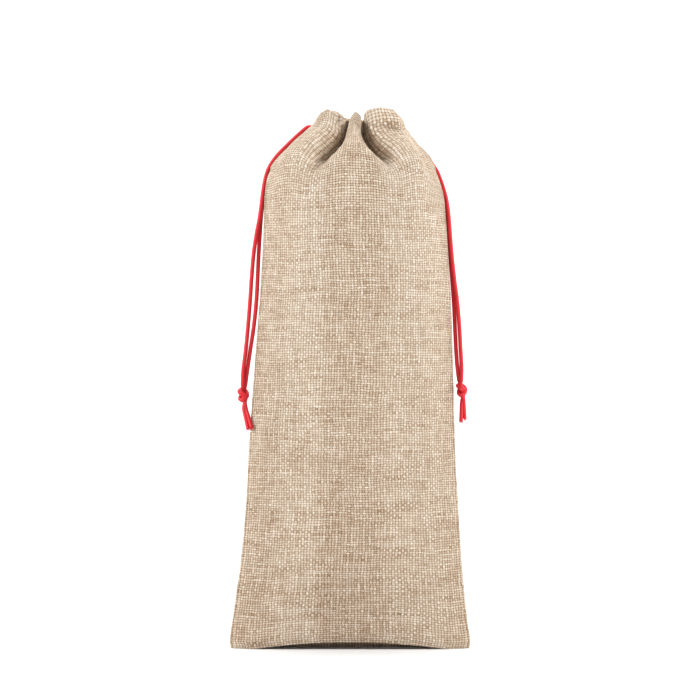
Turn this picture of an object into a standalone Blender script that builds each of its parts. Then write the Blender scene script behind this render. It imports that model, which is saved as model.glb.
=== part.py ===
"""Burlap bottle sack with two drawcords, standing drawn shut.

The sack is one length of cloth, folded at the bottom and sewn up both sides, with its
top edge turned in as a hem that holds the cords. Each drawcord comes out of the hem at
one side seam as two strands, hangs down beside the seam, and ends in an overhand knot
with two frayed tails.

Metres, +Z up, front towards -Y. The origin is on the floor, in the middle of the base.
"""

import math

import bmesh
import bpy
from mathutils import Matrix, Vector

# ---------------------------------------------------------------- driving dimensions
PANEL_WIDTH = 0.150  # the flat sack, from seam to seam
CLOTH_THICK = 0.0015  # one layer of burlap
HEM_THICK = 0.0022  # the hem's two layers, pressed together by the gathers
HEM_FROM = 0.300  # height where the hem's two layers begin
HEM_FADES_IN = 0.006  # over this height
CORD_RADIUS = 0.0012

# The body's outline, a row for each height: how far out the left and right seams lie.
OUTLINE = [
    # height, left, right
    (0.0000, -0.0742, 0.0742),
    (0.0040, -0.0750, 0.0750),
    (0.0170, -0.0734, 0.0732),
    (0.0340, -0.0709, 0.0714),
    (0.0580, -0.0676, 0.0693),
    (0.0920, -0.0647, 0.0672),
    (0.1350, -0.0623, 0.0652),
    (0.1800, -0.0591, 0.0641),
    (0.2200, -0.0561, 0.0627),
    (0.2550, -0.0541, 0.0606),
    (0.2780, -0.0534, 0.0588),
]

# The section between the seams: a lens higher up, and a blunter boat at the foot.
FOOT_HALF_DEPTH = 0.0155
FOOT_EDGE = 0.0030  # how far the foot's lower edge is rounded in
FOOT_FADES_BY = 0.090
LENS_POWER, BOAT_POWER = 2.0, 3.4
SECTION_ROUNDNESS = 0.75

# The bottom fold is drawn up between its two corners, which rest flat on the floor.
ARCH_RISE = 0.0046
ARCH_HALF_SPAN = 0.060
ARCH_FADES_BY = 0.050  # the height where the belly no longer shows the arch

# How each kind of fold line turns from the belly to the neck: the height of the knee
# where it leaves the belly, then one place on the way, as a share of the way in and up.
KINDS = {
    # kind: knee height, share in, share up
    "left seam": (0.2985, 0.50, 0.52),
    "right seam": (0.2870, 0.46, 0.56),
    "left side": (0.2990, 0.44, 0.56),
    "right side": (0.2900, 0.47, 0.55),
    "right turn": (0.2880, 0.46, 0.56),
    "crest": (0.3020, 0.38, 0.62),
    "edge": (0.3010, 0.48, 0.53),
    "slope": (0.2990, 0.50, 0.40),
    "valley": (0.2990, 0.62, 0.18),
}

# The gathered top, a row for each fold line that runs up the cloth: how far it lies from
# the left seam on the flat panel, its place at the neck, where the cord holds it, how far
# the hem puffs out above the neck, and its place at the top edge.
FRONT_FOLDS = [
    # name, kind, from seam, neck x, y, z, puff, top x, y, z
    ("left_seam", "left seam", 0.000, -0.0238, 0.0020, 0.3240, 0.0000, -0.0205, 0.0030, 0.3280),
    ("left_side", "left side", 0.012, -0.0235, -0.0085, 0.3240, 0.0003, -0.0198, -0.0080, 0.3287),
    ("left_lobe_outer", "crest", 0.024, -0.0200, -0.0175, 0.3235, 0.0005, -0.0176, -0.0160, 0.3326),
    ("left_lobe", "crest", 0.034, -0.0135, -0.0215, 0.3230, 0.0005, -0.0122, -0.0195, 0.3342),
    ("left_lobe_roll", "slope", 0.042, -0.0068, -0.0205, 0.3170, 0.0010, -0.0058, -0.0190, 0.3250),
    ("left_valley", "valley", 0.048, -0.0012, -0.0055, 0.3120, 0.0000, -0.0015, -0.0060, 0.3290),
    ("tongue_left_wall", "slope", 0.054, -0.0012, -0.0110, 0.3150, 0.0000, -0.0004, -0.0090, 0.3275),
    ("tongue_left_edge", "edge", 0.060, -0.0028, -0.0185, 0.3185, 0.0000, -0.0001, -0.0155, 0.3276),
    ("tongue_left_round", "crest", 0.067, -0.0004, -0.0222, 0.3205, 0.0000, 0.0013, -0.0188, 0.3306),
    ("tongue", "crest", 0.076, 0.0032, -0.0235, 0.3215, 0.0000, 0.0037, -0.0200, 0.3326),
    ("tongue_right_round", "crest", 0.085, 0.0056, -0.0220, 0.3200, 0.0000, 0.0060, -0.0186, 0.3306),
    ("tongue_right_edge", "edge", 0.091, 0.0068, -0.0180, 0.3175, 0.0000, 0.0072, -0.0150, 0.3276),
    ("tongue_right_wall", "slope", 0.096, 0.0070, -0.0120, 0.3150, 0.0000, 0.0070, -0.0100, 0.3275),
    ("right_valley", "valley", 0.102, 0.0088, -0.0085, 0.3120, 0.0000, 0.0085, -0.0075, 0.3290),
    ("right_lobe_roll", "slope", 0.108, 0.0116, -0.0160, 0.3170, 0.0010, 0.0096, -0.0160, 0.3334),
    ("right_lobe", "crest", 0.1155, 0.0185, -0.0215, 0.3200, 0.0020, 0.0175, -0.0200, 0.3358),
    ("right_lobe_outer", "crest", 0.124, 0.0275, -0.0175, 0.3212, 0.0050, 0.0258, -0.0168, 0.3348),
    ("right_side", "right side", 0.133, 0.0328, -0.0065, 0.3220, 0.0022, 0.0304, -0.0075, 0.3305),
    ("right_turn", "right turn", 0.143, 0.0372, 0.0050, 0.3214, 0.0000, 0.0298, 0.0040, 0.3252),
    ("right_seam", "right seam", 0.150, 0.0342, 0.0128, 0.3206, 0.0000, 0.0284, 0.0112, 0.3252),
]
BACK_FOLDS = [
    # name, kind, from seam, neck x, y, z, puff, top x, y, z
    ("back_left_side", "left side", 0.010, -0.0234, 0.0095, 0.3235, 0.0000, -0.0196, 0.0090, 0.3295),
    ("back_left_lobe_outer", "crest", 0.017, -0.0190, 0.0170, 0.3230, 0.0010, -0.0160, 0.0150, 0.3335),
    ("back_left_lobe", "crest", 0.026, -0.0132, 0.0165, 0.3225, 0.0010, -0.0115, 0.0140, 0.3358),
    ("back_left_roll", "slope", 0.033, -0.0098, 0.0105, 0.3190, 0.0000, -0.0086, 0.0090, 0.3350),
    ("back_left_valley", "valley", 0.039, -0.0076, 0.0055, 0.3150, 0.0000, -0.0065, 0.0050, 0.3335),
    ("back_left_turn", "slope", 0.045, -0.0052, 0.0105, 0.3185, 0.0000, -0.0046, 0.0090, 0.3315),
    ("back_middle_left", "crest", 0.054, -0.0036, 0.0185, 0.3220, 0.0010, -0.0030, 0.0155, 0.3308),
    ("back_middle_left_round", "crest", 0.062, 0.0020, 0.0195, 0.3220, 0.0010, 0.0015, 0.0160, 0.3300),
    ("back_middle_slope", "slope", 0.070, 0.0046, 0.0125, 0.3185, 0.0000, 0.0040, 0.0100, 0.3290),
    ("back_middle_valley", "valley", 0.078, 0.0060, 0.0060, 0.3150, 0.0000, 0.0060, 0.0055, 0.3285),
    ("back_middle_turn", "slope", 0.0845, 0.0084, 0.0115, 0.3185, 0.0000, 0.0080, 0.0095, 0.3290),
    ("back_middle_right", "crest", 0.0935, 0.0104, 0.0190, 0.3220, 0.0010, 0.0098, 0.0160, 0.3305),
    ("back_middle_right_round", "crest", 0.102, 0.0160, 0.0190, 0.3220, 0.0010, 0.0150, 0.0160, 0.3325),
    ("back_right_slope", "slope", 0.109, 0.0184, 0.0120, 0.3185, 0.0000, 0.0176, 0.0100, 0.3320),
    ("back_right_valley", "valley", 0.115, 0.0202, 0.0062, 0.3150, 0.0000, 0.0194, 0.0056, 0.3315),
    ("back_right_roll", "slope", 0.122, 0.0226, 0.0115, 0.3185, 0.0000, 0.0212, 0.0100, 0.3320),
    ("back_right_lobe", "crest", 0.131, 0.0252, 0.0178, 0.3220, 0.0010, 0.0230, 0.0155, 0.3325),
    ("back_right_lobe_outer", "crest", 0.1405, 0.0302, 0.0170, 0.3208, 0.0005, 0.0260, 0.0147, 0.3290),
]
NECK_CENTRE = Vector((0.004, 0.0, 0.0))
KNEE_LEAN = 0.04  # how far a knee leans in from the belly, as a share of the way to the neck

STEPS_PER_FOLD = 3  # columns of faces between one fold line and the next
GATHER_ROWS = 15  # rows of faces from the belly to the top edge
SLIT_ROWS = (10, 11)  # the two rows of those that are open at each side seam, for the cord
LEFT_SLIT, RIGHT_SLIT = (-1, 1), (-1, 3)  # the columns that are open there, from each seam on

# The drawcords' routes, from the slit down to the knot. Two strands leave each slit, one
# in front of the other, and part a little as they hang.
STRANDS = {
    "left_strand_front": [
        (-0.0228, 0.0004, 0.3240),
        (-0.0262, 0.0004, 0.3242),
        (-0.0300, 0.0005, 0.3214),
        (-0.0346, 0.0004, 0.3172),
        (-0.0398, 0.0006, 0.3122),
        (-0.0446, 0.0011, 0.3074),
        (-0.0487, 0.0019, 0.3021),
        (-0.0515, 0.0023, 0.2966),
        (-0.0532, 0.0020, 0.2900),
        (-0.0543, 0.0012, 0.2830),
        (-0.0552, 0.0005, 0.2755),
        (-0.0564, 0.0000, 0.2670),
        (-0.0583, -0.0002, 0.2570),
        (-0.0600, 0.0000, 0.2450),
        (-0.0612, 0.0002, 0.2310),
        (-0.0622, 0.0002, 0.2160),
        (-0.0634, 0.0000, 0.2010),
        (-0.0648, -0.0004, 0.1860),
        (-0.0664, -0.0008, 0.1730),
        (-0.0668, -0.0013, 0.1633),
    ],
    "left_strand_back": [
        (-0.0228, 0.0032, 0.3240),
        (-0.0262, 0.0032, 0.3242),
        (-0.0300, 0.0033, 0.3214),
        (-0.0346, 0.0032, 0.3172),
        (-0.0398, 0.0034, 0.3122),
        (-0.0444, 0.0040, 0.3074),
        (-0.0483, 0.0047, 0.3021),
        (-0.0509, 0.0052, 0.2966),
        (-0.0526, 0.0049, 0.2900),
        (-0.0538, 0.0041, 0.2830),
        (-0.0547, 0.0033, 0.2755),
        (-0.0555, 0.0028, 0.2670),
        (-0.0562, 0.0024, 0.2570),
        (-0.0569, 0.0019, 0.2450),
        (-0.0575, 0.0016, 0.2310),
        (-0.0583, 0.0014, 0.2160),
        (-0.0598, 0.0012, 0.2010),
        (-0.0620, 0.0009, 0.1860),
        (-0.0639, 0.0005, 0.1730),
        (-0.0652, 0.0010, 0.1633),
    ],
    "right_strand_front": [
        (0.0332, 0.0109, 0.3196),
        (0.0344, 0.0117, 0.3209),
        (0.0360, 0.0140, 0.3206),
        (0.0370, 0.0161, 0.3188),
        (0.0390, 0.0173, 0.3162),
        (0.0427, 0.0173, 0.3126),
        (0.0461, 0.0163, 0.3096),
        (0.0491, 0.0150, 0.3060),
        (0.0511, 0.0141, 0.3026),
        (0.0526, 0.0130, 0.3002),
        (0.0547, 0.0114, 0.2965),
        (0.0564, 0.0096, 0.2923),
        (0.0578, 0.0069, 0.2880),
        (0.0592, 0.0044, 0.2830),
        (0.0603, 0.0022, 0.2782),
        (0.0610, 0.0009, 0.2732),
        (0.0616, 0.0000, 0.2670),
        (0.0624, 0.0000, 0.2560),
        (0.0634, 0.0000, 0.2440),
        (0.0649, 0.0000, 0.2300),
        (0.0667, -0.0002, 0.2160),
        (0.0680, -0.0004, 0.2010),
        (0.0688, -0.0006, 0.1860),
        (0.0694, -0.0008, 0.1750),
        (0.0692, -0.0013, 0.1664),
    ],
    "right_strand_back": [
        (0.0317, 0.0132, 0.3200),
        (0.0331, 0.0140, 0.3220),
        (0.0344, 0.0162, 0.3218),
        (0.0350, 0.0181, 0.3192),
        (0.0367, 0.0192, 0.3160),
        (0.0402, 0.0196, 0.3124),
        (0.0433, 0.0191, 0.3095),
        (0.0468, 0.0178, 0.3058),
        (0.0489, 0.0173, 0.3024),
        (0.0508, 0.0162, 0.3000),
        (0.0530, 0.0142, 0.2965),
        (0.0548, 0.0126, 0.2923),
        (0.0569, 0.0102, 0.2880),
        (0.0584, 0.0076, 0.2830),
        (0.0596, 0.0052, 0.2782),
        (0.0604, 0.0038, 0.2732),
        (0.0610, 0.0029, 0.2670),
        (0.0618, 0.0028, 0.2560),
        (0.0626, 0.0027, 0.2440),
        (0.0636, 0.0025, 0.2300),
        (0.0646, 0.0020, 0.2160),
        (0.0653, 0.0016, 0.2010),
        (0.0660, 0.0010, 0.1860),
        (0.0668, 0.0006, 0.1750),
        (0.0679, 0.0012, 0.1664),
    ],
}
STRAND_SPACING = 0.0045  # between the points that a strand's tube is built on

# One overhand knot, as the cord runs through it, about the knot's middle.
KNOT_RADIUS = 0.0016  # the two strands are tied as one, and press flat into each other
STRAND_GAP = 0.0006  # from a strand's end to its knot, whose grain fills half of it
KNOT_ROUTE = [
    (0.0000, 0.0006, 0.0030),
    (-0.0002, 0.0012, 0.0018),
    (-0.0011, 0.0011, -0.0006),
    (-0.0021, 0.0001, -0.0028),
    (-0.0011, -0.0017, -0.0036),
    (0.0011, -0.0019, -0.0021),
    (0.0024, -0.0004, -0.0002),
    (0.0018, 0.0017, 0.0016),
    (-0.0008, 0.0021, 0.0031),
    (-0.0025, 0.0002, 0.0028),
    (-0.0017, -0.0019, 0.0012),
    (0.0004, -0.0017, -0.0006),
    (0.0011, 0.0000, -0.0026),
    (0.0008, 0.0004, -0.0044),
]
KNOTS = [
    # name, the strands that it ties, its middle, its turn about the upright, the tails' ends
    (
        "left_knot",
        ("left_strand_front", "left_strand_back"),
        (-0.0662, -0.0006, 0.1577),
        0.0,
        ((-0.0634, -0.0050, 0.1368), (-0.0611, -0.0062, 0.1374)),
    ),
    (
        "right_knot",
        ("right_strand_front", "right_strand_back"),
        (0.0696, -0.0006, 0.1609),
        0.4,
        ((0.0690, -0.0022, 0.1412), (0.0714, -0.0008, 0.1428)),
    ),
]
TAIL_RADIUS = 0.00115
TAIL_DROP = Vector((0, 0, -0.0040))  # how a tail leaves the knot, before it turns to its end
TUFT_RADII = (0.0007, 0.0004)
TUFT_SPREAD = Vector((0.0015, 0.0009, -0.0016))  # how far each yarn frays out, and down
TUFTS = 3  # to each tail
KNOT_GRAIN = 0.0005  # the size of the faces that the knot's turns are joined with
KNOT_KEEP = 0.2  # the share of those faces that is kept


# ---------------------------------------------------------------- curves
def mix(a, b, share):
    return a + (b - a) * share


def smooth(share):
    share = min(1.0, max(0.0, share))
    return share * share * (3 - 2 * share)


def spline(before, a, b, after, share):
    """A point between a and b on a smooth curve that runs through all four."""
    square, cube = share * share, share**3
    return 0.5 * (
        2 * a
        + (b - before) * share
        + (2 * before - 5 * a + 4 * b - after) * square
        + (3 * a - before - 3 * b + after) * cube
    )


def soft_spline(before, a, b, after, share):
    """A point near a and b on a softer curve, which rounds every corner."""
    square, cube = share * share, share**3
    return (
        before * (1 - 3 * share + 3 * square - cube)
        + a * (4 - 6 * square + 3 * cube)
        + b * (1 + 3 * share + 3 * square - 3 * cube)
        + after * cube
    ) / 6


def route(points, spacing):
    """Points evenly spaced along the smooth curve through these."""
    points = [Vector(point) for point in points]
    ends = [2 * points[0] - points[1], *points, 2 * points[-1] - points[-2]]
    fine = [points[0]]
    for i in range(len(points) - 1):
        fine += [spline(*ends[i : i + 4], (step + 1) / 16) for step in range(16)]
    return evenly(fine, spacing)


def evenly(fine, spacing):
    """These points taken again, evenly spaced along their run."""
    lengths = [0.0]
    for a, b in zip(fine, fine[1:]):
        lengths.append(lengths[-1] + (b - a).length)
    count = max(2, round(lengths[-1] / spacing))
    places, i = [fine[0]], 1
    for step in range(1, count):
        target = lengths[-1] * step / count
        while lengths[i] < target:
            i += 1
        share = (target - lengths[i - 1]) / (lengths[i] - lengths[i - 1])
        places.append(fine[i - 1].lerp(fine[i], share))
    return [*places, fine[-1]]


# ---------------------------------------------------------------- the body
def arch(x):
    """How far the bottom fold is off the floor at x."""
    return ARCH_RISE * max(0.0, 1 - (x / ARCH_HALF_SPAN) ** 2)


def lens(across, power):
    return (1 - abs(across) ** power) ** SECTION_ROUNDNESS


def belly_depth(half_width):
    """How deep the belly is where the whole panel spans this half width."""
    low, high = 0.0, PANEL_WIDTH / 2
    for _ in range(30):
        depth, length, steps = (low + high) / 2, 0.0, 60
        places = [-math.cos(math.pi * i / steps) for i in range(steps + 1)]
        for a, b in zip(places, places[1:]):
            rise = depth * (lens(b, LENS_POWER) - lens(a, LENS_POWER))
            length += math.hypot(half_width * (b - a), rise)
        low, high = (low, depth) if length > PANEL_WIDTH else (depth, high)
    return depth


def section(row, side):
    """Places along one panel at a height, from the left seam to the right, evenly along the
    cloth. side is -1 for the front panel and 1 for the back."""
    height, left, right = row
    middle, half = (left + right) / 2, (right - left) / 2
    foot = 1 - smooth(height / FOOT_FADES_BY)
    edge = FOOT_EDGE * max(0.0, 1 - height / (2 * FOOT_EDGE)) ** 2
    depth = (belly_depth(half) ** 3 + foot * FOOT_HALF_DEPTH**3) ** (1 / 3) - edge
    power = mix(LENS_POWER, BOAT_POWER, foot)
    fine, places, lengths = 240, [], [0.0]
    for i in range(fine + 1):
        across = -math.cos(math.pi * i / fine)
        place = Vector((middle + half * across, side * depth * lens(across, power), height))
        if places:
            lengths.append(lengths[-1] + (place - places[-1]).length)
        places.append(place)

    def at(share):
        target = share * lengths[-1]
        i = next(i for i in range(1, fine + 1) if lengths[i] >= target - 1e-12)
        step = (target - lengths[i - 1]) / (lengths[i] - lengths[i - 1])
        place = places[i - 1].lerp(places[i], step)
        place.z += arch(place.x) * (1 - smooth(height / ARCH_FADES_BY))
        return place

    return at


# ---------------------------------------------------------------- the gathered top
def gather(body, knee_z, share_in, share_up, neck, puff, top):
    """The rows above the belly on one column: up to the knee, in to the neck, and up through
    the puffed hem to the top edge."""
    knee = body[-1].lerp(neck, KNEE_LEAN)
    knee.z = knee_z
    shoulder = knee.lerp(neck, share_in)
    shoulder.z = mix(knee_z, neck.z, share_up)
    outwards = (neck - NECK_CENTRE) * Vector((1, 1, 0))
    hem = neck.lerp(top, 0.5) + outwards.normalized() * puff
    path = [*body, knee, shoulder, neck, hem, top, 2 * top - hem]
    spans = len(path) - 3
    rows = []
    for row in range(1, GATHER_ROWS + 1):
        along = spans * row / GATHER_ROWS
        i = min(int(along), spans - 1)
        rows.append(soft_spline(*path[i : i + 4], along - i))
    return rows


def columns():
    """Each column of points from the foot to the top edge: round the front from left to
    right, then round the back from right to left."""
    ring = [(-1, row) for row in FRONT_FOLDS] + [(1, row) for row in reversed(BACK_FOLDS)]
    sections = {side: [section(row, side) for row in OUTLINE] for side in (-1, 1)}
    folds = []
    for _side, (_name, kind, seam, nx, ny, nz, puff, tx, ty, tz) in ring:
        folds.append((*KINDS[kind], puff, Vector((nx, ny, nz)), Vector((tx, ty, tz)), seam))
    count, made = len(folds), []
    for i in range(count):
        before, a, b, after = (folds[(i + k) % count] for k in (-1, 0, 1, 2))
        side = -1 if i < len(FRONT_FOLDS) - 1 else 1
        for step in range(STEPS_PER_FOLD):
            share = step / STEPS_PER_FOLD
            seam = mix(a[-1], b[-1] if i < count - 1 else 0.0, share) / PANEL_WIDTH
            body = [at(seam) for at in sections[side]]
            knee_z, share_in, share_up, puff = (mix(a[k], b[k], share) for k in range(4))
            neck, top = (spline(before[k], a[k], b[k], after[k], share) for k in (4, 5))
            rows = gather(body[-3:], knee_z, share_in, share_up, neck, puff, top)
            made.append(body[:-1] + rows)
    return made


# ---------------------------------------------------------------- making the objects
def material(name, colour, roughness):
    made = bpy.data.materials.new(name)
    made.use_nodes = True
    surface = made.node_tree.nodes["Principled BSDF"]
    surface.inputs["Base Color"].default_value = (*colour, 1)
    surface.inputs["Roughness"].default_value = roughness
    surface.inputs["Metallic"].default_value = 0
    return made


def sack(parts, finish):
    """The whole cloth: a loft over its columns, closed under the foot and open at the cords'
    slits, and thickened inwards."""
    shape = bmesh.new()
    grid = [[shape.verts.new(place) for place in column] for column in columns()]
    count, rows = len(grid), len(grid[0])
    right_seam = STEPS_PER_FOLD * (len(FRONT_FOLDS) - 1)
    slit_columns = [i % count for i in range(*LEFT_SLIT)]
    slit_columns += [right_seam + i for i in range(*RIGHT_SLIT)]
    slit_rows = [len(OUTLINE) - 2 + row for row in SLIT_ROWS]
    for i in range(count):
        left, right = grid[i], grid[(i + 1) % count]
        for row in range(rows - 1):
            if i in slit_columns and row in slit_rows:
                continue
            shape.faces.new((left[row], right[row], right[row + 1], left[row + 1]))
    back_steps = count - right_seam
    for i in range(right_seam):
        shape.verts.ensure_lookup_table()
        front = (grid[i][0], grid[i + 1][0])
        back = [grid[round(count - back_steps * k / right_seam) % count][0] for k in (i, i + 1)]
        corners = list(dict.fromkeys([front[1], front[0], back[0], back[1]]))
        shape.faces.new(corners)
    loose = [vertex for vertex in shape.verts if not vertex.link_faces]
    bmesh.ops.delete(shape, geom=loose, context="VERTS")
    mesh = bpy.data.meshes.new("sack")
    shape.normal_update()
    shape.to_mesh(mesh)
    shape.free()
    cloth = bpy.data.objects.new("sack", mesh)
    parts.objects.link(cloth)
    mesh.materials.append(finish)
    hem = cloth.vertex_groups.new(name="hem")
    for vertex in mesh.vertices:
        hem.add([vertex.index], smooth((vertex.co.z - HEM_FROM) / HEM_FADES_IN), "REPLACE")
    thicken = cloth.modifiers.new("cloth thickness", "SOLIDIFY")
    thicken.thickness = HEM_THICK
    thicken.offset = -1
    thicken.vertex_group = hem.name
    thicken.thickness_vertex_group = CLOTH_THICK / HEM_THICK
    mesh.shade_smooth()


def tube(name, places, radii):
    """A round tube along these places, which can taper."""
    curve = bpy.data.curves.new(name, "CURVE")
    curve.dimensions = "3D"
    curve.bevel_depth = 1
    curve.bevel_resolution = 2
    curve.use_fill_caps = True
    run = curve.splines.new("POLY")
    run.points.add(len(places) - 1)
    for point, place, radius in zip(run.points, places, radii):
        point.co = (*place, 1)
        point.radius = radius
    return bpy.data.objects.new(name, curve)


def strand(name, parts, finish):
    places = route(STRANDS[name], STRAND_SPACING)
    made = tube(name, places, [CORD_RADIUS] * len(places))
    made.data.materials.append(finish)
    parts.objects.link(made)


def knot(name, strands, middle, turn, ends, parts, finish):
    """The turns of the knot and its two tails, joined into one solid under its two strands."""
    upright = Matrix.Rotation(turn, 3, "Z")
    turned = [Vector(middle) + upright @ Vector(point) for point in KNOT_ROUTE]
    places = route(turned, KNOT_RADIUS / 2)
    shape = bmesh.new()
    add_tube(shape, places, [KNOT_RADIUS] * len(places))
    for held in strands:
        before, last = (Vector(point) for point in STRANDS[held][-2:])
        start = last + (last - before).normalized() * STRAND_GAP
        add_tube(shape, [start, start.lerp(turned[0], 0.7)], [CORD_RADIUS] * 2)
    for number, end in enumerate(ends):
        add_tail(shape, turned[-1], Vector(end), number)
    mesh = bpy.data.meshes.new(name)
    shape.to_mesh(mesh)
    shape.free()
    made = bpy.data.objects.new(name, mesh)
    parts.objects.link(made)
    join = made.modifiers.new("join the turns", "REMESH")
    join.mode = "VOXEL"
    join.voxel_size = KNOT_GRAIN
    join.adaptivity = 0
    thin = made.modifiers.new("fewer faces", "DECIMATE")
    thin.ratio = KNOT_KEEP
    mesh.materials.append(finish)
    mesh.shade_smooth()


def add_tail(shape, start, end, number):
    """One free end below the knot, with the little tufts that it frays into."""
    beside = Vector((TAIL_RADIUS * (2 * number - 1) / 2, 0, 0))
    bend = start + TAIL_DROP + beside
    places = route([start, bend, bend.lerp(end, 0.5), end], TAIL_RADIUS)
    add_tube(shape, places, [TAIL_RADIUS] * len(places))
    for tuft in range(TUFTS):
        angle = 2 * math.pi * tuft / TUFTS + number
        splay = Vector((math.cos(angle), math.sin(angle), 1)) * TUFT_SPREAD
        add_tube(shape, [end, end + splay], TUFT_RADII)


def add_tube(shape, places, radii):
    """Adds a closed round tube along these places to a bmesh."""
    made = tube("tube", places, radii)
    bpy.context.scene.collection.objects.link(made)
    graph = bpy.context.evaluated_depsgraph_get()
    mesh = bpy.data.meshes.new_from_object(made.evaluated_get(graph))
    shape.from_mesh(mesh)
    bmesh.ops.remove_doubles(shape, verts=shape.verts, dist=1e-6)
    bpy.data.objects.remove(made, do_unlink=True)


def main():
    for old in list(bpy.data.objects):
        bpy.data.objects.remove(old, do_unlink=True)
    parts = bpy.data.collections.new("drawstring sack")
    bpy.context.scene.collection.children.link(parts)
    burlap = material("burlap", (0.64, 0.50, 0.37), 0.85)
    red_braid = material("red braid", (0.78, 0.02, 0.035), 0.6)
    sack(parts, burlap)
    for name in STRANDS:
        strand(name, parts, red_braid)
    for row in KNOTS:
        knot(*row, parts, red_braid)


main()
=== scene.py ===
"""A burlap sack for one bottle, standing, drawn shut by a red braided cord at each side.

Metres, +Z up, the front towards -Y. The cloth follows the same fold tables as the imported
solid, on a finer grid, and adds what the eye sees close to: puckered side seams, a sewn hem,
creases, and the weave. The cords are braided and knotted strand by strand.
"""

import math
import random

import bmesh
import bpy
from mathutils import Matrix, Vector, noise


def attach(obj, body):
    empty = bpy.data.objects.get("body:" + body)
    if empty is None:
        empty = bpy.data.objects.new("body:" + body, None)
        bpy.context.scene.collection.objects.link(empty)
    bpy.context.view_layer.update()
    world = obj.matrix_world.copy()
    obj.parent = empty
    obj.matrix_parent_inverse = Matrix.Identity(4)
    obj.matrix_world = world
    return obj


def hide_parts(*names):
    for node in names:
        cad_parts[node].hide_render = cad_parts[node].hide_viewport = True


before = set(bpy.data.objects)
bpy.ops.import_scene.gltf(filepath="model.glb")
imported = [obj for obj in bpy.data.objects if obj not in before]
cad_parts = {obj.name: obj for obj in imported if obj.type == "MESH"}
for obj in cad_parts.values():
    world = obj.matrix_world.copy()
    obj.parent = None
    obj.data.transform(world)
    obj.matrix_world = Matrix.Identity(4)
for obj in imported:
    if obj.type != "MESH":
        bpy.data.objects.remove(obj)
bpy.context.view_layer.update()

MM = 0.001

# ---------------------------------------------------------------- the camera's place
# The photograph looks level at the sack's middle height, from far away.
EYE_HEIGHT = 0.1855
EYE_DISTANCE = 2.4
VIEW_WIDTH = 0.4357  # what the frame spans at the sack
SENSOR = 36.0  # mm

# ---------------------------------------------------------------- the cloth's sizes
PANEL_WIDTH = 0.150  # the flat sack, from seam to seam
CLOTH_THICK = 0.0011
HEM_THICK = 0.0017
HEM_FROM = 0.2975  # height of the line where the hem's two layers are sewn down
CORD_RADIUS = 0.00126
WARP_PITCH, WEFT_PITCH = 1.85, 1.46  # mm between threads that run up, and across

OUTLINE = [
    # height, left, right
    (0.0000, -0.0742, 0.0742),
    (0.0040, -0.0750, 0.0750),
    (0.0170, -0.0734, 0.0732),
    (0.0340, -0.0709, 0.0714),
    (0.0580, -0.0676, 0.0693),
    (0.0920, -0.0647, 0.0672),
    (0.1350, -0.0623, 0.0652),
    (0.1800, -0.0591, 0.0641),
    (0.2200, -0.0561, 0.0627),
    (0.2550, -0.0541, 0.0606),
    (0.2780, -0.0534, 0.0588),
]
FOOT_HALF_DEPTH = 0.0155
FOOT_EDGE = 0.0030
FOOT_FADES_BY = 0.090
LENS_POWER, BOAT_POWER = 2.0, 3.4
SECTION_ROUNDNESS = 0.75
SECTION_STEPS = 480  # the steps in which a section's length is measured
BELLY_STEPS = 60  # the same for the belly's depth
BELLY_TRIES = 30  # how often the range that holds that depth is halved
DEPTHS_JOIN = 3  # the power by which the belly's depth and the foot's are joined
ARCH_RISE = 0.0046
ARCH_HALF_SPAN = 0.060
ARCH_FADES_BY = 0.050

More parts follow.
